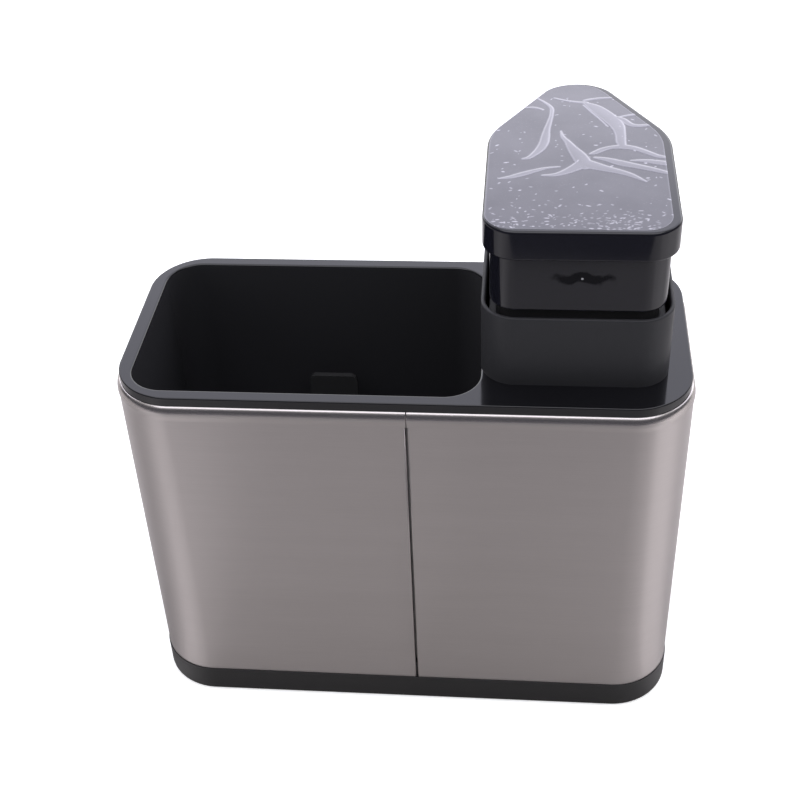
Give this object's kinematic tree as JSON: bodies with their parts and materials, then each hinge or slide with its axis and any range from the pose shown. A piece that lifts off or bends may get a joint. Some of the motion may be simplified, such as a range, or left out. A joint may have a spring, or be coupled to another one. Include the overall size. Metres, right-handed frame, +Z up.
{
  "type": "soap pump caddy",
  "caption": "Free-standing sink caddy: a brushed steel sleeve on a moulded base, with a lift-out liner that holds a sponge well and a soap tank with a press-top pump and overhanging spout.",
  "frame": {"origin": "centre of the sleeve's plan, on the surface that the caddy stands on", "axes": "+X along the body towards the soap tank, +Y towards the spout's tip, +Z up; the seam is on the -Y face"},
  "size_m": [0.2056, 0.1218, 0.2118],
  "materials": {
    "base_plastic": "fine satin mould texture",
    "foot_rubber": "matt",
    "sleeve_steel": "brushed along the length",
    "clip_steel": "bare",
    "liner_plastic": "satin gloss",
    "rack_plastic": "satin",
    "tank_plastic": "moulded",
    "seal_rubber": "silicone",
    "lid_plastic": "gloss",
    "pump_plastic": "natural polypropylene",
    "piston_plastic": "soft polyethylene",
    "tube_plastic": "extruded polyethylene",
    "ball_steel": "polished stainless steel",
    "spring_steel": "drawn wire",
    "head_plastic": "high gloss",
    "clear_film": "thin creased protective film"
  },
  "bodies": {
    "base": {"base_tray": "base_plastic", "rubber_ring": "foot_rubber", "steel_sleeve": "sleeve_steel", "seam_clip": "clip_steel"},
    "liner": {"top_liner": "liner_plastic"},
    "rack": {"drain_rack": "rack_plastic"},
    "tank": {"soap_tank": "tank_plastic"},
    "pump": {"pump_lid": "lid_plastic", "lid_seal": "seal_rubber", "pump_cylinder": "pump_plastic", "cylinder_cap": "pump_plastic", "ball_cage": "pump_plastic", "dip_tube": "tube_plastic", "return_spring": "spring_steel"},
    "inlet_valve": {"inlet_ball": "ball_steel"},
    "head": {"press_head": "head_plastic", "nose_cover": "head_plastic", "feed_tube": "tube_plastic", "spout_nozzle": "head_plastic", "piston_stem": "pump_plastic", "piston_seal": "piston_plastic", "protective_film": "clear_film"},
    "outlet_valve": {"outlet_ball": "ball_steel"}
  },
  "joints": [
    {"name": "liner_lift", "type": "slide", "parent": "base", "child": "liner", "axis": [0, 0, 1], "range_m": [0, 0.14]},
    {"name": "rack_lift", "type": "slide", "parent": "liner", "child": "rack", "axis": [0, 0, 1], "range_m": [0, 0.085]},
    {"name": "tank_lift", "type": "slide", "parent": "liner", "child": "tank", "axis": [0, 0, 1], "range_m": [0, 0.168]},
    {"name": "pump_lift", "type": "slide", "parent": "tank", "child": "pump", "axis": [0, 0, 1], "range_m": [0, 0.168]},
    {"name": "inlet_ball_lift", "type": "slide", "parent": "pump", "child": "inlet_valve", "axis": [0, 0, 1], "range_m": [0, 0.0012]},
    {"name": "head_press", "type": "slide", "parent": "pump", "child": "head", "axis": [0, 0, -1], "range_m": [0, 0.007], "stiffness_N_per_m": 1400, "springref_m": -0.006, "deforming": ["return_spring"]},
    {"name": "outlet_ball_lift", "type": "slide", "parent": "head", "child": "outlet_valve", "axis": [0, 0, 1], "range_m": [0, 0.001]}
  ]
}
